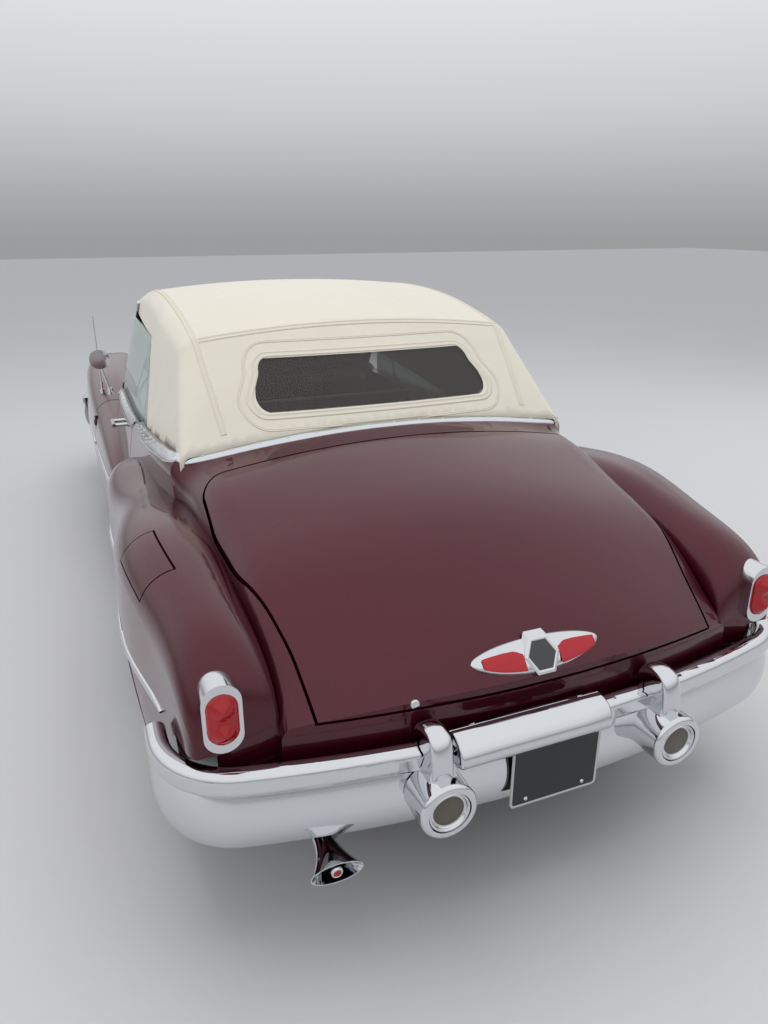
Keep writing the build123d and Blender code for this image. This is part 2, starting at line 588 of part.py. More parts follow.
# Lamps
lamp_x, lamp_z, lamp_face_y, lamp_radius, lens_radius = 735.0, 752.0, -2470.0, 112.0, 88.0
lamp_ring = rod((lamp_x, lamp_face_y, lamp_z), (lamp_x, lamp_face_y + 45.0, lamp_z), lamp_radius)
lamp_ring = fillet(lamp_ring.edges().filter_by(GeomType.CIRCLE).group_by(Axis.Y)[0], 14.0)
lamp_seat = rod((lamp_x, lamp_face_y - 5.0, lamp_z), (lamp_x, lamp_face_y + 12.0, lamp_z), lens_radius)
lamp_ring -= lamp_seat
bulge = 260.0
lamp_lens = Solid.make_sphere(bulge).moved(Location((lamp_x, lamp_face_y - 16.0 + bulge, lamp_z)))
lamp_lens = lamp_lens & rod((lamp_x, lamp_face_y - 60.0, lamp_z), (lamp_x, lamp_face_y + 12.0, lamp_z), lens_radius)
save("headlamps", pair((lamp_ring - front_fender).solids().sort_by(SortBy.VOLUME)[-1]))
save("headlamp_lenses", pair(lamp_lens))


def tail_oval(wide, tall, y0, y1):
    outline = Plane(origin=(842.0, y0, 763.0), x_dir=Vector(1, 0, 0), z_dir=Vector(0, 1, 0)) * SlotOverall(
        tall, wide, rotation=90)
    return extrude(outline, y1 - y0)


tail_face_y, tail_lens_y = 2318.0, 2300.0
tail_bezel = tail_oval(97.0, 188.0, 2225.0, tail_face_y) - tail_oval(78.0, 140.0, tail_lens_y, tail_face_y + 5)
tail_lens = tail_oval(78.0, 140.0, tail_lens_y, tail_face_y + 4)
save("tail_lamps", pair(tail_bezel - rear_pontoon))
save("tail_lenses", pair(tail_lens - rear_pontoon))

# Radio mast on the left front fender
mast_x, mast_y = 900.0, -1005.0
mast = rod((mast_x, mast_y, 880.0), (mast_x, mast_y, 905.0), 13.0) + rod(
    (mast_x, mast_y, 905.0), (mast_x, mast_y, 950.0), 7.0) + rod((mast_x, mast_y, 950.0), (mast_x, mast_y, 1330.0), 3.0)
save("radio_mast", mast - front_pontoon)

# Windscreen
rake = Vector(0, 330.0, 420.0)
foot = Vector(0, -985.0, 1085.0)
foot_side_x, foot_side_y, foot_side_z = 755.0, -845.0, 1020.0


def screen_slab(thick, drop):
    """Bowed slab along the rake, thick measured fore and aft."""
    slope = (foot_side_z - foot.Z) / (foot_side_y - foot.Y)
    lean = Vector(0, thick, thick * slope)
    outer = Edge.make_three_point_arc(Vector(-foot_side_x, foot_side_y, foot_side_z), foot,
                                      Vector(foot_side_x, foot_side_y, foot_side_z))
    a, b = outer @ 0, outer @ 1
    inner = Edge.make_three_point_arc(b + lean, foot + lean, a + lean)
    face = Face(Wire([outer, Edge.make_line(b, b + lean), inner, Edge.make_line(a + lean, a)]))
    face = face.moved(Location(rake * (-drop)))
    return Solid.extrude(face, rake * (1 + drop))


screen_out = [(-780, 900), (780, 900), (690, 1400), (662, 1600), (-662, 1600), (-690, 1400)]
screen_in = [(-728, 1042), (0, 1112), (728, 1042), (652, 1396), (560, 1434), (0, 1456), (-560, 1434), (-652, 1396)]
screen = screen_slab(26.0, 0.5) & front_prism(screen_out, -1300, 0)
screen_frame = (screen - front_prism(screen_in, -1300, 0)) - cabin - nose
pane = screen_slab(8.0, 0.0).moved(Location((0, 9.0, 0))) & front_prism(screen_in, -1300, 0)
save("windscreen_frame", screen_frame)
save("windscreen_glass", pane - cabin - nose)

# Canvas roof and its window
roof_outer = loft_through(roof_section, roof_rows) + loft_through(roof_section, back_rows)
roof_inner = loft_through(roof_section, roof_rows, inset=roof_thick)
roof_inner += loft_through(roof_section, back_rows, inset=roof_thick)
window_cut = side_prism(((-900, 900), (330, 900), (424, 900), (424, 1060), (334, 1385), (-900, 1385)), -900, 900)
roof_shell = roof_outer - roof_inner - window_cut - core - screen
window_wire = Wire.make_polygon([Vector(x, 930, z) for x, z in
                                 ((-474, 1214), (474, 1214), (430, 1380), (-430, 1380))])
window_wire = window_wire.fillet_2d(46.0, window_wire.vertices())
back_window = Solid.extrude(Face(window_wire), Vector(0, 470, 0))
roof = (roof_shell - back_window).solids().sort_by(SortBy.VOLUME)[-1]
save("soft_top", roof)
back_pane = (roof_shell & back_window).solids().sort_by(SortBy.VOLUME)[-1]
save("rear_window", back_pane)

# Chassis
rail_path = ((-2380.0, 330.0), (-2000.0, 330.0), (-1300.0, 250.0), (850.0, 250.0),
             (1080.0, 452.0), (1560.0, 452.0), (1800.0, 400.0), (2300.0, 400.0))
rail = side_prism([(y, z + 35) for y, z in rail_path] + [(y, z - 35) for y, z in reversed(rail_path)],
                  350.0, 415.0)
frame_shape = rail + mirrored(rail)
for y, z in ((-2330.0, 330.0), (-1200.0, 250.0), (0.0, 250.0), (750.0, 250.0), (1700.0, 418.0), (2250.0, 400.0)):
    frame_shape += block(-352, 352, y - 40, y + 40, z - 28, z + 28)
for x in (-tow_hole_x, tow_hole_x):
    frame_shape -= rod((x, tow_y, 300.0), (x, tow_y, 500.0), tow_hole_radius)
save("frame_rails", frame_shape)
floor = side_prism(((-984, 316), (-984, 300), (860, 300), (860, 500), (2300, 500), (2300, 516),
                    (844, 516), (844, 316)), -640, 640)
floor += block(-door_inner_x + 0.5, door_inner_x - 0.5, -984, 560, 300, 316)
save("floor_pan", floor)
save("engine_block", block(-190, 190, -2020, -1180, 420, 850))
save("gearbox", rod((0, -1170, 480), (0, -760, 400), 110) - block(-500, 500, -1006, 0, 0, 900)
     - block(-190, 190, -2020, -1180, 420, 850))
save("radiator", block(-300, 300, -2330, -2270, 420, 830))
save("fuel_tank", block(-340, 340, 1870, 2180, 300, 360))
pipe = rod((280, -1100, 180), (280, 1950, 190), 24)
pipe += rod((280, 100, 183), (280, 640, 185), 60)
pipe += rod((280, 1950, 190), (612, 2330, 330), 24)
save("exhaust", pipe)
outlet_x, outlet_z, outlet_y = 614.0, 330.0, 2326.0
# Sections of the flared outlet: aft of its clamp, half width, half height
outlet_rows = ((0.0, 28.0, 28.0), (45.0, 34.0, 29.0), (124.0, 70.0, 30.0))


def outlet_loft(wall_in, start=0.0, end=0.0):
    wires = []
    for aft, wide, high in outlet_rows:
        place = aft + (start if aft == 0.0 else 0.0) + (end if aft == outlet_rows[-1][0] else 0.0)
        plane = Plane(origin=(outlet_x, outlet_y + place, outlet_z), x_dir=(1, 0, 0), z_dir=(0, 1, 0))
        wires.append((plane * Ellipse(wide - wall_in, high - wall_in)).wire())
    return Solid.make_loft(wires)


outlet = outlet_loft(0.0) - outlet_loft(3.0, -1.0, 1.0)
save("exhaust_outlet", outlet - pipe)

# Axles
rear_hub_x = rear_track / 2 - 60.0
axle_half = [(0, 0), (0, 125), (70, 120), (130, 70), (200, 38), (rear_hub_x, 38),
             (rear_hub_x, bearing_radius), (rear_track / 2 + 20, bearing_radius), (rear_track / 2 + 20, 0)]
axle_face = Face(Wire.make_polygon([Vector(a, rear_axle_y, axle_z + r) for a, r in axle_half]))
axle = Solid.revolve(axle_face, 360, Axis((0, rear_axle_y, axle_z), (1, 0, 0)))
axle += mirrored(axle)
save("rear_axle", axle)
arms = block(-560, 560, front_axle_y - 60, front_axle_y + 60, 218, 254)
arms += block(-520, 520, front_axle_y - 40, front_axle_y + 40, 470, 500)
for x in (-600.0, 600.0):
    arms += block(min(x, x * 1.1), max(x, x * 1.1), front_axle_y - 30, front_axle_y + 30, 218, 254)
    arms += block(min(x * 0.85, x * 1.1), max(x * 0.85, x * 1.1), front_axle_y - 30, front_axle_y + 30, 470, 500)
    arms += block(min(x * 0.9, x), max(x * 0.9, x), front_axle_y - 30, front_axle_y + 30, 218, 254)
    arms += rod((x * kingpin_x / 600, front_axle_y, 225), (x * kingpin_x / 600, front_axle_y, 500), kingpin_radius)
arms = arms - block(-190, 190, -2020, -1180, 420, 850)
save("front_suspension", arms)
knuckle = rod((kingpin_x, front_axle_y, 268), (kingpin_x, front_axle_y, 464), 26)
knuckle += across(bearing_radius, kingpin_x, front_track / 2 + 20, front_axle_y, axle_z)
knuckle -= rod((kingpin_x, front_axle_y, 200), (kingpin_x, front_axle_y, 520), kingpin_radius + running_gap)
save("knuckle_left", knuckle)
save("knuckle_right", mirrored(knuckle))


# Wheels
def turned(profile, x, y):
    """Revolve (across, radius) points about the wheel's axis; across grows outwards."""
    face = Face(Wire.make_polygon([Vector(x + a, y, axle_z + r) for a, r in profile]))
    return Solid.revolve(face, 360, Axis((0, y, axle_z), (1, 0, 0)))


half_tyre, half_rim = tyre_width / 2, rim_width / 2
tyre_profile = [(-half_rim, rim_radius), (-half_tyre, rim_radius + 60), (-half_tyre + 4, tyre_radius - 30),
                (-half_tyre + 26, tyre_radius), (half_tyre - 26, tyre_radius), (half_tyre - 4, tyre_radius - 30),
                (half_tyre, rim_radius + 60), (half_rim, rim_radius)]
bore = bearing_radius + running_gap
stub_end = 22.0
# Half section of the pressed wheel with its domed cover: outwards from the middle, radius
rim_profile = [(-half_rim, rim_radius), (-half_rim, rim_radius - 14), (14, rim_radius - 26), (14, 72), (-30, 62),
               (-30, bore), (stub_end, bore), (stub_end, 0), (86, 0), (84, 30), (77, 56), (66, 80), (60, 104),
               (58, 122), (50, 140), (46, 152), (half_rim - 12, rim_radius - 24), (half_rim, rim_radius - 12),
               (half_rim, rim_radius)]
for name, track, y in (("front", front_track, front_axle_y), ("rear", rear_track, rear_axle_y)):
    tyre = turned(tyre_profile, track / 2, y)
    rim = turned(rim_profile, track / 2, y)
    save(f"tyre_{name}_left", tyre)
    save(f"tyre_{name}_right", mirrored(tyre))
    save(f"rim_{name}_left", rim)
    save(f"rim_{name}_right", mirrored(rim))

# Cabin
# Side outlines of the two benches and the dashboard: (y, z) corners, half width, edge radius
cushion_edge = 38.0
seat_outlines = (
    ("front_cushion", ((-372, 410), (112, 410), (112, 632), (-372, 676)), 670.0),
    ("front_backrest", ((114, 410), (246, 410), (318, 1030), (214, 1040)), 670.0),
    ("rear_cushion", ((640, 520), (1032, 520), (1032, 662), (640, 702)), 600.0),
    ("rear_backrest", ((1034, 520), (1166, 520), (1176, 1040), (1088, 1060)), 600.0),
)
for name, outline, half in seat_outlines:
    seat = side_prism(outline, -half, half)
    save(name, fillet(seat.edges(), cushion_edge))
dash_half = 690.0
dash = side_prism(((-930, 760), (-760, 760), (-722, 800), (-722, 905), (-780, 952), (-930, 952)), -dash_half, dash_half)
save("dashboard", dash)
wheel_centre = Vector(375.0, -345.0, 990.0)
column_dir = Vector(0, -cos(radians(32)), -sin(radians(32)))
column_plane = Plane(origin=wheel_centre, x_dir=Vector(1, 0, 0), z_dir=column_dir)
column_start = wheel_centre + column_dir * 40
column_end = wheel_centre + column_dir * 640
column = rod(tuple(column_start), tuple(column_end), 24)
save("steering_column", column - dash - cowl)
steering = column_plane.location * (Solid.make_torus(215, 11) + Solid.make_cylinder(30, 34)
                                    + Box(430, 16, 10) + Box(16, 430, 10))
save("steering_wheel", steering)
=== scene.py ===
# %% [markdown]
# # A convertible of about 1950, with its canvas roof up
# This lesson dresses a car. Its frame, panels, axles and joints are already made and load as
# a fixed set of parts. Every surface gets its finish here. The canvas, the benches, the tyres
# and the lamp glass are modelled again as finer meshes, and bright trim is laid on the panels.

# %% Load the frame
import bpy
import bmesh
import json
import numpy as np
from math import cos, pi, radians, sin, sqrt
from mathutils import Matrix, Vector
from mathutils.bvhtree import BVHTree


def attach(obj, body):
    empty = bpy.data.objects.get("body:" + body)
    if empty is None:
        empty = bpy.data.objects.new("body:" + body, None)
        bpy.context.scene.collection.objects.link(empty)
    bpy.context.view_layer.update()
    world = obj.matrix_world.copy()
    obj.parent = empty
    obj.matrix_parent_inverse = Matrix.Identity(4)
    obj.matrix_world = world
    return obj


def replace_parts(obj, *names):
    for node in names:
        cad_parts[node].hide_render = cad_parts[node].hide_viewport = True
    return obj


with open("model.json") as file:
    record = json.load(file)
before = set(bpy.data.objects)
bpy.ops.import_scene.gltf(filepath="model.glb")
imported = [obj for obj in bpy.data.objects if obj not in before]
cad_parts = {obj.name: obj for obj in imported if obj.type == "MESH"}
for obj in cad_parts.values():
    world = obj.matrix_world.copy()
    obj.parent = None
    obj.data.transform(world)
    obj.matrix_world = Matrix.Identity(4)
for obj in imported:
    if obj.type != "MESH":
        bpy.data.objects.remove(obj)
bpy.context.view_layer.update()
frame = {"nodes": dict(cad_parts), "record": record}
nodes = frame["nodes"]
record = frame["record"]

# %% [markdown]
# ## Shader maths as plain expressions
# A car's finish is mostly small changes over a surface: flakes, dust, weave. Each is a few
# sums on a noise value. Wrapping a socket in a small class lets those sums be written as
# Python, which is easier to read than a chain of Math nodes.


# %% A socket that understands arithmetic
class Value:
    def __init__(self, tree, socket):
        self.tree, self.socket = tree, socket

    def maths(self, operation, *others, clamp=False):
        node = self.tree.nodes.new("ShaderNodeMath")
        node.operation, node.use_clamp = operation, clamp
        for slot_in, item in zip(node.inputs, (self, *others)):
            if isinstance(item, Value):
                self.tree.links.new(item.socket, slot_in)
            else:
                slot_in.default_value = item
        return Value(self.tree, node.outputs[0])

    def __add__(self, other):
        return self.maths("ADD", other)

    def __mul__(self, other):
        return self.maths("MULTIPLY", other)

    def __sub__(self, other):
        return self.maths("SUBTRACT", other)

    def __rsub__(self, other):
        return (self * -1.0) + other

    __radd__ = __add__
    __rmul__ = __mul__


print("sockets take plus, minus and times")


# %% A tree that takes any node
class Nodes:
    """A node tree, with one method that adds any node to it."""

    def __init__(self, tree):
        self.tree = tree

    def node(self, kind, settings=None, ramp=(), out=0, **inputs):
        """A node with its settings and ramp stops first, then its sockets by name or as i0, i1."""
        node = self.tree.nodes.new("ShaderNode" + kind)
        for key, value in (settings or {}).items():
            setattr(node, key, value)
        for k, (place, colour) in enumerate(ramp):
            stops = node.color_ramp.elements
            stop = stops[k] if k < len(stops) else stops.new(place)
            stop.position, stop.color = place, colour
        for key, value in inputs.items():
            by_number = key[0] == "i" and key[1:].isdigit()
            socket = node.inputs[int(key[1:]) if by_number else key.replace("_", " ")]
            if isinstance(value, Value):
                self.tree.links.new(value.socket, socket)
            else:
                socket.default_value = value
        return Value(self.tree, node.outputs[out]) if node.outputs else None


print("any node comes from one method")


# %% A material under construction
class Finish(Nodes):
    """A material under construction: nodes by one method, and its shader's sockets."""

    def __init__(self, name, **constants):
        self.material = bpy.data.materials.new(name)
        self.material.use_nodes = True
        super().__init__(self.material.node_tree)
        self.shader = self.tree.nodes["Principled BSDF"]
        for key, value in constants.items():
            socket = key.replace("_", " ").title().replace("Ior", "IOR")
            self.shader.inputs[socket].default_value = value

    def noise(self, scale, detail=2.0, roughness=0.5):
        where = self.node("TexCoord", out="Object")
        return self.node("TexNoise", Vector=where, Scale=scale, Detail=detail, Roughness=roughness)

    def mix(self, factor, first, second):
        return self.node("Mix", {"data_type": "RGBA"}, out=2, i0=factor, i6=first, i7=second)

    def bump(self, height, distance, strength=1.0):
        return self.node("Bump", Height=height, Distance=distance, Strength=strength)

    def feed(self, **sockets):
        for key, value in sockets.items():
            self.tree.links.new(value.socket, self.shader.inputs[key.replace("_", " ")])
        return self


def rgb(r, g, b):
    return (r, g, b, 1.0)


print("materials start at", len(bpy.data.materials))

# %% [markdown]
# ## Deep burgundy paint
# The real paint is a dark metallic red under a thick clear coat. A mix of metal and plain
# base under a coat gives that depth: the base is almost black in shade and wine red in light.
# A fine noise gives the metal flakes, and a coarse one the slight waviness that shows in the
# reflections of any hand-finished panel.


# %% Paint
def make_paint():
    finish = Finish("burgundy_paint", metallic=0.62, roughness=0.36, specular_ior_level=0.2,
                    coat_weight=0.9, coat_roughness=0.02, coat_ior=1.45)
    flakes = finish.noise(1400.0, detail=1.0)
    broad = finish.noise(1.6, detail=2.0)
    depth = finish.mix(broad, rgb(0.070, 0.0022, 0.0120), rgb(0.050, 0.0014, 0.0085))
    sparkle = finish.mix((flakes - 0.5) * 2.2, depth, rgb(0.20, 0.010, 0.030))
    wave = finish.noise(5.0, detail=1.0)
    return finish.feed(Base_Color=sparkle, Normal=finish.bump(wave, 0.0006, 0.35)).material


paint = make_paint()
print("paint ready")


# %% [markdown]
# ## Chrome, glass, rubber and cloth
# Chrome is nearly a mirror, with a faint haze and a slight ripple. Window glass is a thin
# sheet, so it is mostly clear and reflects more at low angles. Lamp glass is a plain glossy
# red. Canvas is a soft nap over broad creases, and rubber is dull with a fine grain.


# %% Bright metal, glass, plain finishes and cloth
dust_tone = 0.16


def make_chrome():
    finish = Finish("chrome_plate", metallic=1.0, base_color=rgb(0.68, 0.69, 0.71))
    haze = finish.noise(9.0, detail=4.0, roughness=0.6)
    ripple = finish.noise(26.0, detail=1.0)
    return finish.feed(Roughness=haze * 0.05 + 0.02,
                       Normal=finish.bump(ripple, 0.0004, 0.25)).material


def make_glass(name, tint, clear):
    finish = Finish(name, base_color=rgb(*tint), roughness=0.02, coat_weight=0.0)
    film = finish.noise(6.0, detail=3.0)
    fresnel = finish.node("Fresnel", IOR=1.5)
    alpha = fresnel.maths("ADD", film * 0.03 + clear, clamp=True)
    return finish.feed(Alpha=alpha, Roughness=film * 0.03 + 0.01).material


def make_plain(name, colour, roughness, metallic=0.0, grain=180.0, depth=0.0003, vary=0.25):
    """Satin painted steel, castings, rubber and the like, with grain and a little dust."""
    finish = Finish(name, metallic=metallic)
    fine = finish.noise(grain, detail=3.0)
    broad = finish.noise(4.0, detail=4.0, roughness=0.6)
    dusty = tuple(c + (dust_tone - c) * 0.35 * vary * 4 for c in colour)
    shade = finish.mix(broad * 0.8 * vary, rgb(*colour), rgb(*dusty))
    return finish.feed(Base_Color=shade, Roughness=fine * 0.14 + (roughness - 0.07),
                       Normal=finish.bump(fine, depth, 0.6)).material


def make_cloth(name, colour):
    """Sailcloth: a fine nap, soft creases of the size of a hand, and a little street dust."""
    finish = Finish(name, sheen_weight=0.25, sheen_roughness=0.5)
    nap = finish.noise(900.0, detail=2.0)
    creases = finish.noise(3.2, detail=3.0, roughness=0.45)
    dust = finish.noise(1.3, detail=5.0, roughness=0.65)
    shade = finish.mix(dust * 0.55, rgb(*colour), rgb(*(c * 0.80 for c in colour)))
    folds = finish.bump(creases, 0.035, 0.55)
    cloth = finish.node("Bump", Height=nap, Distance=0.0007, Strength=0.6, Normal=folds)
    return finish.feed(Base_Color=shade, Roughness=nap * 0.1 + 0.82, Normal=cloth).material


chrome = make_chrome()
clear_glass = make_glass("clear_glass", (0.62, 0.70, 0.68), 0.10)
rear_film = make_glass("rear_window_film", (0.10, 0.095, 0.09), 0.26)
black_steel = make_plain("chassis_black", (0.022, 0.022, 0.024), 0.55)
cast_iron = make_plain("engine_casting", (0.10, 0.11, 0.11), 0.6, metallic=0.3, grain=90.0)
exhaust_steel = make_plain("exhaust_steel", (0.22, 0.19, 0.17), 0.5, metallic=0.8)
rubber = make_plain("tyre_rubber", (0.018, 0.018, 0.019), 0.72, grain=300.0, vary=0.15)
white_wall = make_plain("white_wall_rubber", (0.66, 0.64, 0.60), 0.6, grain=90.0, vary=0.2)
canvas = make_cloth("canvas", (0.73, 0.69, 0.59))


def make_smooth(name, colour, roughness, grain, depth=0.0, metallic=0.0):
    """Enamel, lamp glass, hide and the like, with hardly any dust."""
    return make_plain(name, colour, roughness, metallic, grain, depth, vary=0.1)


red_glass = make_smooth("red_lamp_glass", (0.36, 0.004, 0.010), 0.12, 60.0)
smoked_glass = make_smooth("smoked_lamp_glass", (0.10, 0.085, 0.06), 0.08, 40.0)
red_enamel = make_plain("red_enamel", (0.42, 0.008, 0.018), 0.16, grain=40.0, depth=0.0, vary=0.05)
ivory = make_smooth("ivory_plastic", (0.62, 0.55, 0.40), 0.28, 40.0)
leather = make_smooth("seat_leather", (0.22, 0.03, 0.04), 0.45, 260.0, depth=0.0006)
plate_black = make_smooth("plate_black", (0.008, 0.009, 0.012), 0.35, 50.0)
plate_white = make_smooth("plate_rim_grey", (0.50, 0.50, 0.50), 0.4, 60.0)
plate_grey = make_smooth("plaque_grey", (0.07, 0.07, 0.075), 0.3, 90.0, depth=0.0006, metallic=0.6)
canvas_binding = make_smooth("canvas_binding", (0.66, 0.62, 0.52), 0.85, 700.0, depth=0.0008)
print("materials", len(bpy.data.materials))


# %% Finish every part by its slot
by_slot = {
    "paint": paint, "underbody": black_steel, "engine": cast_iron, "exhaust_steel": exhaust_steel,
    "chrome": chrome, "clear_glass": clear_glass, "tinted_glass": rear_film, "red_lens": red_glass,
    "canvas": canvas, "seat_leather": leather, "dash_paint": paint, "wheel_plastic": ivory,
    "tyre": rubber, "wheel_paint": paint,
}
for part in record["subparts"]:
    piece = nodes[part["node"]]
    piece.data.materials.clear()
    piece.data.materials.append(by_slot[part["material_slot"]])
print("finished", len(by_slot), "slots")

# %% [markdown]
# ## Makers for the fine pieces
# Most trim is a strip that follows a line over a panel. A ray finds the panel, and its normal
# says which way the strip faces. Round things are a profile turned about an axis. Both come
# back as points and faces, so that many small things can be joined into one mesh.


# %% Mesh makers
class Build:
    """Points and faces of one piece, gathered from many small shapes."""

    def __init__(self):
        self.points, self.faces = [], []

    def grid(self, rows, closed=False):
        """Quads over rows of points; closed joins the last row to the first."""
        start, columns, count = len(self.points), len(rows[0]), len(rows)
        self.points += [tuple(p) for row in rows for p in row]
        for i in range(count if closed else count - 1):
            for j in range(columns - 1):
                a, b = start + i * columns + j, start + (i + 1) % count * columns + j
                self.faces.append((a, a + 1, b + 1, b))
        return self

    def turned(self, profile, origin, axis, steps=48):
        """A profile of (along, radius) turned about an axis through origin."""
        axis = Vector(axis).normalized()
        side = axis.orthogonal().normalized()
        other = axis.cross(side)
        rows = []
        for k in range(steps):
            spoke = side * cos(2 * pi * k / steps) + other * sin(2 * pi * k / steps)
            rows.append([Vector(origin) + axis * along + spoke * radius
                         for along, radius in profile])
        return self.grid(rows, closed=True)

    def piece(self, name, material, body, slot, smooth=True):
        mesh = bpy.data.meshes.new(name)
        mesh.from_pydata(self.points, [], self.faces)
        mesh.materials.append(material)
        sculpt = bmesh.new()
        sculpt.from_mesh(mesh)
        bmesh.ops.remove_doubles(sculpt, verts=sculpt.verts, dist=0.00001)
        bmesh.ops.recalc_face_normals(sculpt, faces=sculpt.faces)
        for face in sculpt.faces:
            face.smooth = smooth
        sculpt.to_mesh(mesh)
        sculpt.free()
        item = bpy.data.objects.new(name, mesh)
        bpy.context.scene.collection.objects.link(item)
        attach(item, body)
        return item


print("mesh maker ready")


# %% Lines that land on panels
def panel_rays(*names):
    """A ray caster over some CAD nodes."""
    points, faces = [], []
    for name in names:
        mesh, start = nodes[name].data, len(points)
        points += [v.co.copy() for v in mesh.vertices]
        faces += [[start + i for i in face.vertices] for face in mesh.polygons]
    return BVHTree.FromPolygons(points, faces)


def even_line(fine, spacing):
    """The same line, cut into even steps."""
    fine = np.array(fine)
    run = np.concatenate([[0], np.cumsum(np.linalg.norm(np.diff(fine, axis=0), axis=1))])
    places = np.linspace(0, run[-1], max(2, int(run[-1] / spacing) + 1))
    return [Vector([float(np.interp(p, run, fine[:, k])) for k in range(3)]) for p in places]


def smooth_line(corners, spacing):
    """A curve through points in plan or space, evenly sampled."""
    corners = [np.array(c, float) for c in corners]
    ends = [2 * corners[0] - corners[1]] + corners + [2 * corners[-1] - corners[-2]]
    fine = []
    for a, b, c, d in zip(ends, ends[1:], ends[2:], ends[3:]):
        for t in np.linspace(0, 1, 24, endpoint=False):
            fine.append(0.5 * (2 * b + (c - a) * t + (2 * a - 5 * b + 4 * c - d) * t ** 2
                               + (3 * b - a - 3 * c + d) * t ** 3))
    return even_line(fine + [corners[-1]], spacing)


def landed(line, rays, aim):
    """Where a line, seen along aim, falls on a panel: points and outward normals."""
    aim, found = Vector(aim).normalized(), []
    for p in line:
        hit, normal = rays.ray_cast(p - aim * 0.4, aim)[:2]
        if hit is not None:
            found.append((hit, -normal if normal.dot(aim) > 0 else normal))
    return found


def same(found):
    return found


def flipped_x(found):
    """The same places and normals on the other side of the car."""
    return [(Vector((-p.x, p.y, p.z)), Vector((-n.x, n.y, n.z))) for p, n in found]


both_sides = (("left", same), ("right", flipped_x))
shell_rays = panel_rays("body_shell")
side_rays = panel_rays("rear_fenders", "fender_skirts", "front_fenders", "door_left")
top_rays = panel_rays("soft_top", "rear_window")
lid_rays = panel_rays("trunk_lid")
door_rays = panel_rays("door_left")
down, backward, forward, inward_left = (0, 0, -1), (0, 1, 0), (0, -1, 0), (-1, 0, 0)
print("ray casters ready")


# %% Strips
# Cross-section of a trim strip: share of half width, share of rise
strip_profile = ((-1.0, -0.5), (-1.0, 0.35), (-0.8, 0.8), (-0.35, 1.0), (0.0, 1.0),
                 (0.35, 1.0), (0.8, 0.8), (1.0, 0.35), (1.0, -0.5))


def strip(build, found, width, rise, profile=strip_profile, tapered=True):
    """A strip along found points and normals; tapered narrows its ends."""
    rows, count = [], len(found)
    for k, (hit, normal) in enumerate(found):
        ahead = (found[min(k + 1, count - 1)][0] - found[max(k - 1, 0)][0]).normalized()
        across = ahead.cross(normal).normalized()
        upward = across.cross(ahead).normalized()
        upward = upward if upward.dot(normal) > 0 else -upward
        shrink = min(1.0, 0.25 + 0.25 * min(k, count - 1 - k)) if tapered else 1.0
        rows.append([hit + across * (w * width / 2 * shrink) + upward * (h * rise)
                     for w, h in profile])
    return build.grid(rows)


print("strip profile", len(strip_profile), "points")

# %% [markdown]
# ## Bright trim
# A screwed chrome moulding covers the edge of the canvas. It starts on the doors, follows the
# belt and crosses behind the rear window. A second strip runs along each side.


# %% Belt moulding
belt_corners = [(0.819, 0.312, 1.2), (0.817, 0.6, 1.2), (0.812, 0.9, 1.2), (0.798, 1.08, 1.3),
                (0.784, 1.19, 1.3), (0.752, 1.262, 1.3), (0.68, 1.288, 1.3), (0.4, 1.303, 1.3),
                (0.0, 1.310, 1.3)]
door_corners = [(0.821, -0.83, 1.2), (0.823, -0.3, 1.2), (0.822, 0.284, 1.2)]
belt_width, belt_rise = 0.046, 0.007
door_belt_width, door_belt_rise = 0.034, 0.006
screw_profile = [(0.0, 0.0052), (0.0012, 0.0050), (0.0024, 0.0036), (0.0028, 0.0)]


def screws(found, rise):
    """A small domed head on every fifth station of a moulding."""
    heads = Build()
    for hit, normal in found[3::5]:
        heads.turned(screw_profile, hit + normal * rise, normal, 10)
    return heads


half_belt = landed(smooth_line(belt_corners, 0.02), shell_rays, down)
belt = half_belt + flipped_x(half_belt)[::-1][1:]
strip(Build(), belt, belt_width, belt_rise).piece("belt_moulding", chrome, "root", "chrome")
door_belt = landed(smooth_line(door_corners, 0.02), door_rays, down)
for side, turn in both_sides:
    build = strip(Build(), turn(door_belt), door_belt_width, door_belt_rise)
    build.piece("door_moulding_" + side, chrome, side + "_door", "chrome")
    screws(turn(door_belt), door_belt_rise).piece(
        "door_moulding_screws_" + side, chrome, side + "_door", "chrome")
screws(belt, belt_rise).piece("belt_moulding_screws", chrome, "root", "chrome")
print("belt", len(belt), "stations, door", len(door_belt))


# %% Side strips
strip_z, strip_x = 0.62, 1.2
side_runs = (("rear_fender", "root", 0.372, 2.02), ("door", "door", -0.832, 0.278),
             ("front_fender", "root", -2.25, -0.862))
for name, body, y0, y1 in side_runs:
    line = smooth_line([(strip_x, y, strip_z) for y in (y0, (y0 + y1) / 2, y1)], 0.025)
    found = landed(line, side_rays, inward_left)
    for side, turn in both_sides:
        rides_on = side + "_door" if body == "door" else body
        strip(Build(), turn(found), 0.024, 0.008).piece(
            f"{name}_strip_{side}", chrome, rides_on, "chrome")
    print(name, "strip", len(found), "stations")


# %% Wipers
wiper_rays = panel_rays("windscreen_glass")
in_front = -1.6
# An arm and a blade: foot and tip as (x, z), then width and rise
wiper_parts = (((0.30, 1.055), (0.13, 1.20), 0.010, 0.012),
               ((0.02, 1.12), (0.24, 1.27), 0.008, 0.007))
wipers = Build()
for sign in (-1, 1):
    for foot, tip, width, rise in wiper_parts:
        half_way = [(a + b) / 2 for a, b in zip(foot, tip)]
        line = smooth_line([(sign * x, in_front, z) for x, z in (foot, half_way, tip)], 0.02)
        strip(wipers, landed(line, wiper_rays, backward), width, rise)
wipers.piece("wipers", chrome, "root", "chrome")
print("wipers", len(wipers.faces), "faces")

# %% [markdown]
# ## Lamps
# Each tail lamp has a long red glass with two cones. Each guard ends in a small round lamp.


# %% Tail lamp glass
swell_height, cone_height, cone_share = 0.013, 0.017, 0.74


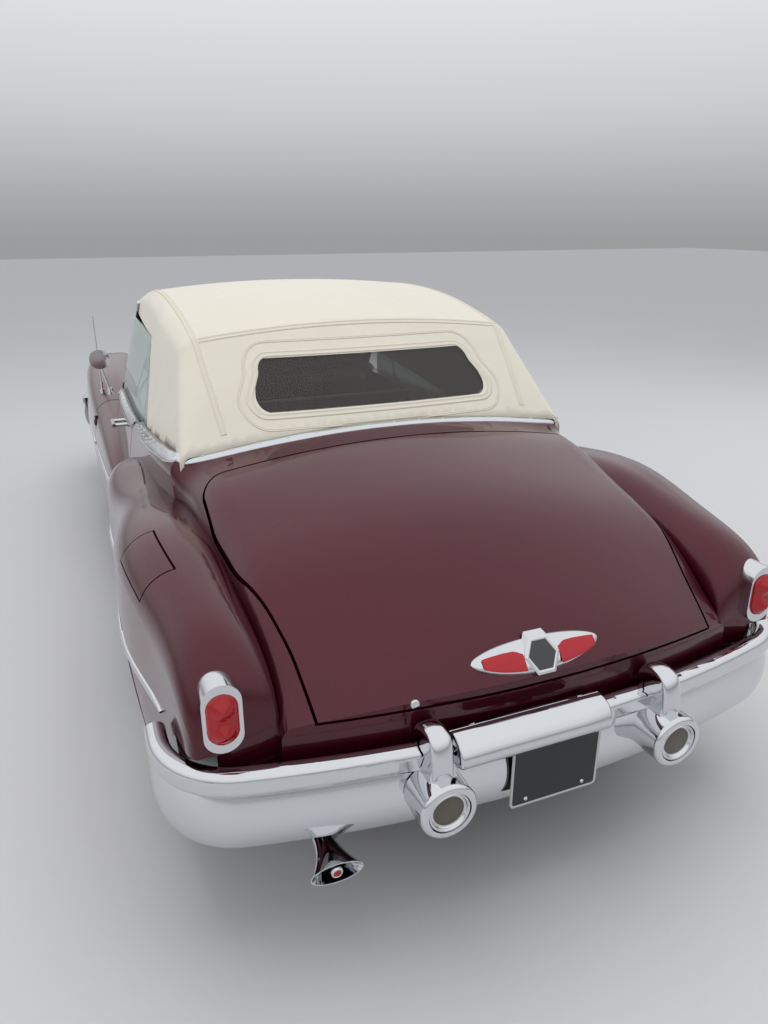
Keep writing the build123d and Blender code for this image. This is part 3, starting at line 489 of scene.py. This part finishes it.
def lens_rows(x, face_y, z, wide, tall):
    """Spokes of a long oval glass with a swell all over and a cone in each half."""
    radius, half = wide / 2, (tall - wide) / 2
    rows = []
    for k in range(96):
        turn = 2 * pi * k / 96
        edge = Vector((radius * cos(turn), 0,
                       radius * sin(turn) + (half if sin(turn) >= 0 else -half)))
        row = []
        for step in range(25):
            u = step / 24
            p = edge * u
            from_cone = Vector((p.x, 0, abs(p.z) - half * 1.02)).length
            cone = max(0.0, 1 - from_cone / (radius * cone_share))
            swell = swell_height * sqrt(max(0.0, 1 - u ** 4))
            row.append(Vector((x + p.x, face_y + swell + cone_height * cone, z + p.z)))
        rows.append(row)
    return rows


lenses = Build()
for x in (-0.842, 0.842):
    lenses.grid(lens_rows(x, 2.3185, 0.763, 0.0775, 0.1395), closed=True)
glass = lenses.piece("tail_lamp_glass", red_glass, "root", "red_lens")
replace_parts(glass, "tail_lenses")
print("tail lamp glass", len(lenses.faces), "faces")


# %% Guard lamps
guard_x = 0.352
ring_profile = [(0.0, 0.0575), (0.009, 0.0565), (0.013, 0.0540), (0.013, 0.0510), (0.009, 0.0485),
                (0.003, 0.0475), (0.002, 0.0455), (0.004, 0.0440), (0.003, 0.0420)]
glass_profile = [(0.002, 0.0435), (0.0035, 0.034), (0.005, 0.018), (0.0055, 0.0)]
guard_rings, guard_glass = Build(), Build()
for x in (-guard_x, guard_x):
    dish = (x, 2.532, 0.508)
    guard_rings.turned(ring_profile, dish, backward, 64)
    guard_glass.turned(glass_profile, dish, backward, 48)
guard_rings.piece("guard_lamp_rings", chrome, "root", "chrome")
guard_glass.piece("guard_lamp_glass", smoked_glass, "root", "tinted_glass")
print("guard lamps ready")


# %% Rounded ribs and bridge
def wrapped(profile, x0, x1, section, build):
    """A skin over a (y, z) profile from x0 to x1; section gives (share of half width, rise)."""
    path = smooth_line([(0.0, y, z) for y, z in profile], 0.006)
    last, middle, half = len(path) - 1, (x0 + x1) / 2, (x1 - x0) / 2
    rows = []
    for k, p in enumerate(path):
        ahead = (path[min(k + 1, last)] - path[max(k - 1, 0)]).normalized()
        out = Vector((0.0, ahead.z, -ahead.y))
        end = min(1.0, (min(k, last - k) + 1) / 3)
        rows.append([Vector((middle + share * half, p.y + out.y * rise * end,
                             p.z + out.z * rise * end)) for share, rise in section])
    return build.grid(rows)


# Both profiles run from the foot up, so that their outward side faces the tail
rib_half = 0.0300
rib_path = ((2.504, 0.560), (2.504, 0.575), (2.500, 0.610), (2.494, 0.648), (2.480, 0.676),
            (2.454, 0.686), (2.430, 0.684), (2.404, 0.676), (2.388, 0.654), (2.388, 0.616))
rib_section = ((-1.0, -0.026), (-1.0, -0.008), (-0.94, 0.0), (-0.82, 0.0045), (-0.5, 0.0075),
               (0.0, 0.0090), (0.5, 0.0075), (0.82, 0.0045), (0.94, 0.0), (1.0, -0.008),
               (1.0, -0.026))
ribs = Build()
for x in (-guard_x, guard_x):
    wrapped(rib_path, x - rib_half, x + rib_half, rib_section, ribs)
ribs.piece("guard_ribs", chrome, "root", "chrome")
bridge_path = ((2.488, 0.5860), (2.503, 0.5925), (2.510, 0.6060), (2.510, 0.6210),
               (2.500, 0.6400), (2.484, 0.6560), (2.462, 0.6630), (2.441, 0.6625))
bridge_section = ((-1.0, -0.012), (-1.0, -0.003), (-0.985, 0.001), (-0.96, 0.003), (-0.6, 0.003),
                  (-0.2, 0.003), (0.2, 0.003), (0.6, 0.003), (0.96, 0.003), (0.985, 0.001),
                  (1.0, -0.003), (1.0, -0.012))
bridge = wrapped(bridge_path, -0.1465, 0.3065, bridge_section, Build())
bridge.piece("bridge_skin", chrome, "root", "chrome")
print("ribs and bridge", len(ribs.faces) + len(bridge.faces), "faces")


# %% Lock and exhaust jewel
lock_spot, lock_out = landed([Vector((0.372, 2.8, 0.717))], lid_rays, forward)[0]
lock_profile = [(0.0, 0.013), (0.005, 0.0125), (0.007, 0.010), (0.007, 0.0)]
lock = Build().turned(lock_profile, lock_spot, lock_out, 32)
lock.piece("lid_lock", chrome, "luggage_lid", "chrome")
outlet = (0.614, 2.444, 0.330)
jewel_ring = Build().turned([(0.0, 0.016), (0.006, 0.015), (0.008, 0.011), (0.006, 0.010)],
                            outlet, backward, 32)
jewel_ring.piece("exhaust_jewel_ring", chrome, "root", "chrome")
jewel = Build().turned([(0.005, 0.011), (0.009, 0.008), (0.011, 0.0)], outlet, backward, 32)
jewel.piece("exhaust_jewel", red_glass, "root", "red_lens")
print("lock at", tuple(round(c, 3) for c in lock_spot))

# %% [markdown]
# ## Blank plate and lid plaque
# The plate is black with a pale rim and carries no letters. The plaque keeps its boat shape,
# its six-sided middle and its two red fields, all left blank.


# %% Blank plate
def rounded_box(wide, tall, radius, steps=8):
    """An (x, z) loop round a rectangle with round corners."""
    loop = []
    for cx, cz, start in ((1, 1, 0), (-1, 1, 90), (-1, -1, 180), (1, -1, 270)):
        for k in range(steps + 1):
            turn = radians(start + 90 * k / steps)
            loop.append((cx * (wide / 2 - radius) + radius * cos(turn),
                         cz * (tall / 2 - radius) + radius * sin(turn)))
    return loop


def ring_rows(outlines, place, lean=0.0):
    """Rows between outlines, each an (x, z) loop at its own height towards the tail."""
    rows = [[Vector((place[0] + x, place[1] + out - lean * z, place[2] + z)) for x, z in loop]
            for loop, out in outlines]
    return [list(row) for row in zip(*rows)]


plate_place = (0.0, 2.474, 0.486)
rim = [(rounded_box(0.275, 0.195, 0.014), 0.0), (rounded_box(0.275, 0.195, 0.014), 0.0035),
       (rounded_box(0.272, 0.192, 0.0125), 0.0045), (rounded_box(0.264, 0.184, 0.009), 0.0045),
       (rounded_box(0.261, 0.181, 0.008), 0.0030)]
face = [(rounded_box(0.2612, 0.1812, 0.008), 0.0030), (rounded_box(0.13, 0.09, 0.004), 0.0032),
        (rounded_box(0.0002, 0.0001, 0.00002), 0.0032)]
for name, outlines, material, slot in (("plate_rim", rim, plate_white, "chrome"),
                                       ("plate_face", face, plate_black, "tyre")):
    Build().grid(ring_rows(outlines, plate_place), closed=True).piece(name, material, "root", slot)
bolts = Build()
for x in (-0.09, 0.09):
    bolts.turned([(0.0, 0.006), (0.003, 0.0055), (0.004, 0.0)], (x, 2.477, 0.411), backward, 12)
bolts.piece("plate_screws", chrome, "root", "chrome")
print("plate ready")


# %% Lid plaque
plaque_z, plaque_half = 0.772, 0.2
plaque_up, plaque_down, plaque_swell = 0.034, -0.036, 0.016
field_level, field_swell = 0.0150, 0.0022
behind_car, lid_outward = 2.8, Vector((0, 0.8, 0.6))


def plaque_edge(s, low):
    """Height of the plaque's top or bottom edge, for s from -1 to 1 along it."""
    peak = plaque_down if low else plaque_up
    return peak * max(0.0, 1 - abs(s) ** 2.1) ** 0.62 - 0.004 * (1 - s * s)


def on_lid(x, z, lift):
    """A point on the lid at height z from the plaque's middle, lifted square to the lid."""
    start = Vector((x, behind_car, plaque_z + z))
    return lid_rays.ray_cast(start, Vector(forward))[0] + lid_outward * lift


def dome(t):
    """From 0 at both edges to 1 in the middle."""
    return 4 * t * (1 - t)


rows = []
for i in range(81):
    s = -1 + 2 * i / 80
    low, high = plaque_edge(s, True), plaque_edge(s, False)
    rows.append([on_lid(plaque_half * s, low + (high - low) * j / 20,
                        plaque_swell * dome(j / 20) ** 0.45 * (1 - s ** 6)) for j in range(21)])
Build().grid(rows).piece("lid_plaque", chrome, "luggage_lid", "chrome")
red_fields = Build()
for sign in (-1, 1):
    rows = []
    for i in range(31):
        s = 0.27 + 0.60 * i / 30
        low = plaque_edge(s, True) * 0.86
        high = min(0.010, plaque_edge(s, False) * 0.40) * min(1.0, (s - 0.2) / 0.2)
        rows.append([on_lid(sign * plaque_half * s, low + (high - low) * j / 10,
                            field_level + field_swell * dome(j / 10) ** 0.5)
                     for j in range(11)])
    red_fields.grid(rows)
red_fields.piece("lid_plaque_fields", red_enamel, "luggage_lid", "red_lens")
print("plaque and", len(red_fields.faces), "red faces")


# %% Six-sided middle
def hexagon(wide, tall):
    return [(wide * cos(radians(60 * k)), tall * sin(radians(60 * k))) for k in range(7)]


middle = on_lid(0.0, 0.004, 0.0)
lid_lean = 0.75
hex_rows = [(hexagon(0.056, 0.050), 0.0), (hexagon(0.054, 0.048), 0.024),
            (hexagon(0.046, 0.040), 0.028), (hexagon(0.042, 0.036), 0.026)]
hex_face = [(hexagon(0.043, 0.037), 0.0262), (hexagon(0.0001, 0.0001), 0.0262)]
for name, outlines, material in (("lid_plaque_hexagon", hex_rows, chrome),
                                 ("lid_plaque_middle", hex_face, plate_grey)):
    Build().grid(ring_rows(outlines, middle, lid_lean)).piece(
        name, material, "luggage_lid", "chrome", smooth=False)
print("hexagon at", tuple(round(c, 3) for c in middle))

# %% [markdown]
# ## Tyres, wheel covers and seats
# Tyres are turned from a fine profile, with zigzag grooves cut by lowering the tread there. A
# white band is painted on the outer wall. Each bench is a single leather shape. Cushions are
# pleated on top, and backrests on the side that faces the tail.


# %% Tread and walls
wheel_radius = 0.360
groove_places, groove_half, groove_depth = (-0.052, -0.018, 0.018, 0.052), 0.0042, 0.0075
shoulder_from, cut_from = 0.062, 0.056
zigzags, cuts = 44, 88


def tyre_radius_at(across, angle):
    """Tread height over the tyre's width, with zigzag grooves and fine cross cuts."""
    shoulder = max(0.0, abs(across) - shoulder_from) / 0.0305
    radius = wheel_radius - 0.0045 * (across / 0.08) ** 2 - 0.034 * shoulder ** 2.6
    wave = sin(angle * zigzags)
    zig = 0.0035 * (1 if wave > 0 else -1) * min(1.0, abs(wave) * 2.5)
    for groove in groove_places:
        if abs(across - groove - zig) < groove_half:
            radius -= groove_depth
    if abs(across) > cut_from and sin(angle * cuts) > 0.72:
        radius -= 0.004 * min(1.0, (abs(across) - cut_from) / 0.01)
    return radius


# Profiles as (across, radius)
wall = [(0.0740, 0.1905), (0.0800, 0.2060), (0.0885, 0.2250), (0.0945, 0.2450), (0.0955, 0.2475),
        (0.0960, 0.2560), (0.0964, 0.2750), (0.0950, 0.2950), (0.0938, 0.3060), (0.0925, 0.3110),
        (0.0925, 0.3180), (0.0905, 0.3220)]
cap = [(0.0925, 0.0), (0.0920, 0.020), (0.0900, 0.038), (0.0885, 0.040), (0.0890, 0.043),
       (0.0860, 0.060), (0.0800, 0.085), (0.0775, 0.088), (0.0780, 0.091), (0.0740, 0.108),
       (0.0700, 0.120), (0.0650, 0.127), (0.0580, 0.129)]
beauty_ring = [(0.0640, 0.1700), (0.0730, 0.1740), (0.0800, 0.1810), (0.0820, 0.1880),
               (0.0800, 0.1950), (0.0760, 0.1960)]
white_from, white_to = 0.2475, 0.3085
print("wall", len(wall), "points")


# %% Four wheels
steps = 352
for name, track, y in (("front", 0.751, -1.756), ("rear", 0.790, 1.330)):
    for side, sign in (("left", 1), ("right", -1)):
        body = f"{name}_{side}_wheel"
        rows = []
        for k in range(steps):
            angle = 2 * pi * k / steps
            tread = [(a, tyre_radius_at(a, angle)) for a in np.linspace(0.0895, -0.0895, 62)]
            profile = wall + tread + [(-a, r) for a, r in reversed(wall)]
            rows.append([(sign * (track + a), y + r * cos(angle), wheel_radius + r * sin(angle))
                         for a, r in profile])
        tyre = Build().grid(rows, closed=True).piece(
            f"road_tyre_{name}_{side}", rubber, body, "tyre")
        tyre.data.materials.append(white_wall)
        for face in tyre.data.polygons:
            spot = face.center
            radius = sqrt((spot.y - y) ** 2 + (spot.z - wheel_radius) ** 2)
            if white_from < radius < white_to and sign * spot.x > track + 0.06:
                face.material_index = 1
        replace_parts(tyre, f"tyre_{name}_{side}")
        trim = Build()
        for profile in (cap, beauty_ring):
            trim.turned(profile, (sign * track, y, wheel_radius), (sign, 0, 0), 96)
        trim.piece(f"wheel_trim_{name}_{side}", chrome, body, "chrome")
print("tyres", len(tyre.data.polygons), "faces each")


# %% Benches
across_steps, around_steps = 160, 56
end_round, plain_end, pleat_depth, crown = 0.045, 0.11, 0.008, 0.012


def cushion(node, corners, half, pleats, upright):
    """A bench from the four (y, z) corners of its side view, foot first and front upper last.

    Pleats and crown are on its top, or on the side towards the tail where it is upright.
    """
    lower_front, lower_rear, upper_rear, upper_front = (np.array(c, float) for c in corners)
    centre = (lower_front + lower_rear + upper_rear + upper_front) / 4
    outward = np.array([-1.0, 0.12]) if upright else np.array([0.0, 1.0])
    rows = []
    for i in range(across_steps + 1):
        s = -1 + 2 * i / across_steps
        end = min(1.0, (1 - abs(s)) * half / end_round)
        shrink = 1 - (1 - sqrt(max(0.0, 1 - (1 - end) ** 2))) * 0.20
        row = []
        for j in range(around_steps):
            turn = 2 * pi * j / around_steps
            a, b = cos(turn), sin(turn)
            scale = 1 / max(abs(a), abs(b))
            soft = (abs(a * scale) ** 5 + abs(b * scale) ** 5) ** (-1 / 5)
            u, v = a * scale * soft, b * scale * soft
            facing = u if upright else v
            lift = 0.0
            if facing > 0.55 and abs(s) * half < half - plain_end:
                seam = (1 - abs(sin(pi * pleats * s / 2))) ** 3
                lift = -pleat_depth * seam * min(1.0, (facing - 0.55) * 5)
            if facing > 0.6:
                lift += crown * (1 - s ** 4)
            to_rear, up = (1 + u) / 2, (1 + v) / 2
            low = lower_front * (1 - to_rear) + lower_rear * to_rear
            high = upper_front * (1 - to_rear) + upper_rear * to_rear
            spot = centre + (low + (high - low) * up - centre) * shrink + outward * lift
            row.append((s * half * (1.0 if abs(s) < 1 else 0.995), spot[0], spot[1]))
        rows.append(row + row[:1])
    build = Build().grid(rows)
    for row in (rows[0], rows[-1]):
        build.grid([row, [tuple(np.mean(row, axis=0))] * len(row)])
    seat = build.piece(node + "_trimmed", leather, "root", "seat_leather")
    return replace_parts(seat, node)


front_half, rear_half = 0.668, 0.598
cushion("front_cushion", ((-0.372, 0.41), (0.112, 0.41), (0.112, 0.622), (-0.372, 0.664)),
        front_half, 30, upright=False)
cushion("front_backrest", ((0.116, 0.41), (0.246, 0.41), (0.318, 1.030), (0.216, 1.040)),
        front_half, 30, upright=True)
cushion("rear_cushion", ((0.642, 0.52), (1.030, 0.52), (1.030, 0.652), (0.642, 0.692)),
        rear_half, 26, upright=False)
cushion("rear_backrest", ((1.036, 0.52), (1.166, 0.52), (1.176, 1.040), (1.090, 1.058)),
        rear_half, 26, upright=True)
print("benches ready")

# %% [markdown]
# ## Canvas roof
# The roof is one tailored skin of cloth, stretched over its bows, with hems turned in at every
# edge. It is taken as the outer side and the edges of the plain roof solid and cut finer. The
# inner side is left out, so that the skin is a sheet. Its creases come from the cloth's bump.


# %% Canvas skin
heart_z, heart_front, heart_rear = 1.12, -0.5, 0.75
longest_edge, inward_limit, crease_angle = 0.045, -0.35, radians(35)


def canvas_skin():
    """The roof solid's outer side and edges, cut finer; faces that look inward are left out."""
    sculpt = bmesh.new()
    sculpt.from_mesh(nodes["soft_top"].data)
    inward = []
    for face in sculpt.faces:
        middle = face.calc_center_median()
        heart = Vector((0.0, min(max(middle.y, heart_front), heart_rear), heart_z))
        if face.normal.dot((middle - heart).normalized()) < inward_limit:
            inward.append(face)
    bmesh.ops.delete(sculpt, geom=inward, context="FACES")
    bmesh.ops.remove_doubles(sculpt, verts=sculpt.verts, dist=0.00002)
    for step in range(4):
        long_edges = [edge for edge in sculpt.edges if edge.calc_length() > longest_edge]
        if long_edges:
            bmesh.ops.subdivide_edges(sculpt, edges=long_edges, cuts=1)
            many_sided = [face for face in sculpt.faces if len(face.verts) > 4]
            bmesh.ops.triangulate(sculpt, faces=many_sided)
    for face in sculpt.faces:
        face.smooth = True
    area = sum(face.calc_area() for face in sculpt.faces)
    mesh = bpy.data.meshes.new("canvas_roof")
    sculpt.to_mesh(mesh)
    sculpt.free()
    mesh.materials.clear()
    mesh.materials.append(canvas)
    mesh.set_sharp_from_angle(angle=crease_angle)
    skin = bpy.data.objects.new("canvas_roof", mesh)
    bpy.context.scene.collection.objects.link(skin)
    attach(skin, "root")
    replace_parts(skin, "soft_top")
    print("canvas", len(mesh.polygons), "faces", round(area, 3), "square metres")
    return skin


roof_skin = canvas_skin()

# %% [markdown]
# ## Seams of the canvas
# Flat welts cover the joins of the cloth: across the rear bow, forward along both edges of the
# roof and down to the belt. A binding runs round the rear window.


# %% Welts
welt_profile = ((-1.0, -0.3), (-1.0, 0.5), (-0.55, 1.0), (-0.5, 0.75), (0.5, 0.75), (0.55, 1.0),
                (1.0, 0.5), (1.0, -0.3))
edge_corners = [(0.606, -0.66, 1.6), (0.618, -0.2, 1.6), (0.628, 0.4, 1.6), (0.628, 0.966, 1.6)]
drop_corners = [(0.628, 1.5, 1.466), (0.622, 1.5, 1.38), (0.610, 1.5, 1.27), (0.600, 1.5, 1.16)]
bow_corners = [(-0.632, 0.966, 1.6), (0.0, 0.968, 1.6), (0.632, 0.966, 1.6)]
edge_line = landed(smooth_line(edge_corners, 0.03), top_rays, down)
drop_line = landed(smooth_line(drop_corners, 0.02), top_rays, forward)
bow_line = landed(smooth_line(bow_corners, 0.03), top_rays, down)
welts = Build()
for found in (edge_line, flipped_x(edge_line), drop_line, flipped_x(drop_line), bow_line):
    strip(welts, found, 0.022, 0.0028, welt_profile, tapered=False)
roof_welts = welts.piece("canvas_welts", canvas_binding, "root", "canvas")
print("welts", len(welts.faces), "faces")


# %% Window binding
window_corners = ((-0.474, 1.214, -1, -1, 180), (0.474, 1.214, 1, -1, 270),
                  (0.430, 1.380, 1, 1, 0), (-0.430, 1.380, -1, 1, 90))
window_round = 0.046


def window_loop(grow):
    """The window's outline, grown; each corner gives x, z, its signs and its first angle."""
    loop = []
    for x, z, sx, sz, start in window_corners:
        for k in range(9):
            turn, radius = radians(start + 90 * k / 8), window_round + grow
            loop.append((x - sx * window_round + radius * cos(turn), 1.5,
                         z - sz * window_round + radius * sin(turn)))
    return loop + loop[:1]


binding = Build()
for grow, width in ((0.012, 0.026), (0.052, 0.010)):
    found = landed(even_line(window_loop(grow), 0.012), top_rays, forward)
    strip(binding, found, width, 0.0030, welt_profile, tapered=False)
window_binding = binding.piece("rear_window_binding", canvas_binding, "root", "canvas")
print("binding", len(binding.faces), "faces")

# %% [markdown]
# ## Floor, light and camera
# The floor is a plain pale sheet. A large soft lamp above and two at the sides stand in for
# the flat light of a cloudy day, and the camera stands behind the left rear corner, a little
# above the car, as the photographer did.


# %% Floor
floor_half = 40.0
mesh = bpy.data.meshes.new("floor")
mesh.from_pydata([(x, y, 0) for x, y in ((-floor_half, -floor_half), (floor_half, -floor_half),
                                         (floor_half, floor_half), (-floor_half, floor_half))],
                 [], [(0, 1, 2, 3)])
floor = bpy.data.objects.new("floor", mesh)
bpy.context.scene.collection.objects.link(floor)
finish = Finish("floor_paint", roughness=0.85)
speck = finish.noise(60.0, detail=3.0)
finish.feed(Base_Color=finish.mix(speck * 0.3, rgb(0.62, 0.62, 0.63), rgb(0.56, 0.56, 0.57)))
mesh.materials.append(finish.material)
print("floor", 2 * floor_half, "metres wide")


# %% Sky
def make_sky():
    """Camera, metal and glass see one pale sky, grey at the horizon. The rest is lit evenly."""
    world = bpy.data.worlds.new("soft_sky")
    world.use_nodes = True
    world.node_tree.nodes.clear()
    sky = Nodes(world.node_tree)
    where = sky.node("TexCoord", out="Generated")
    height = sky.node("SeparateXYZ", out="Z", Vector=where) * 0.5 + 0.5
    tones = ((0.0, 0.30), (0.49, 0.34), (0.51, 0.40), (0.56, 0.62), (0.66, 0.90), (0.80, 1.0))
    ramp = [(place, rgb(tone * 0.97, tone * 0.985, tone)) for place, tone in tones]
    seen = sky.node("Background", Color=sky.node("ValToRGB", ramp=ramp, i0=height))
    lit = sky.node("Background", Color=rgb(0.95, 0.97, 1.0), Strength=0.66)
    camera_ray, glossy, through = (sky.node("LightPath", out=f"Is {kind} Ray")
                                   for kind in ("Camera", "Glossy", "Transmission"))
    direct = (camera_ray + glossy).maths("ADD", through, clamp=True)
    sky.node("OutputWorld", Surface=sky.node("MixShader", i0=direct, i1=lit, i2=seen))
    bpy.context.scene.world = world


make_sky()
print("sky ready")


# %% Lamps
def make_lamp(name, place, size, power):
    """A soft panel aimed at the car, kept out of its reflections."""
    lamp = bpy.data.lights.new(name, "AREA")
    lamp.shape, lamp.size, lamp.size_y, lamp.energy = "RECTANGLE", size[0], size[1], power
    holder = bpy.data.objects.new(name, lamp)
    holder.location = place
    aim = Vector((0, 0, 0.6)) - Vector(place)
    holder.rotation_euler = aim.to_track_quat("-Z", "Y").to_euler()
    holder.visible_glossy = False
    bpy.context.scene.collection.objects.link(holder)


make_lamp("overhead", (0.0, 0.5, 7.5), (6.0, 9.0), 250.0)
make_lamp("left_side", (7.0, 4.0, 4.0), (4.0, 3.0), 110.0)
make_lamp("right_side", (-7.0, 1.0, 4.0), (4.0, 3.0), 80.0)
bpy.context.scene.view_settings.view_transform = "Standard"
print("lamps", len(bpy.data.lights))

# %% Camera
camera_place = Vector((1.0599, 3.8419, 1.8585))
camera_turn = radians(-22.336)
camera_dip = radians(21.011)
sight = Vector((sin(camera_turn) * cos(camera_dip), -cos(camera_turn) * cos(camera_dip),
                -sin(camera_dip)))
camera = bpy.data.cameras.new("camera")
camera.sensor_width = 36.0
camera.lens = 26.8
holder = bpy.data.objects.new("camera", camera)
holder.location = camera_place
holder.rotation_euler = sight.to_track_quat("-Z", "Y").to_euler()
bpy.context.scene.collection.objects.link(holder)
bpy.context.scene.camera = holder
print("camera at", tuple(round(c, 2) for c in camera_place))
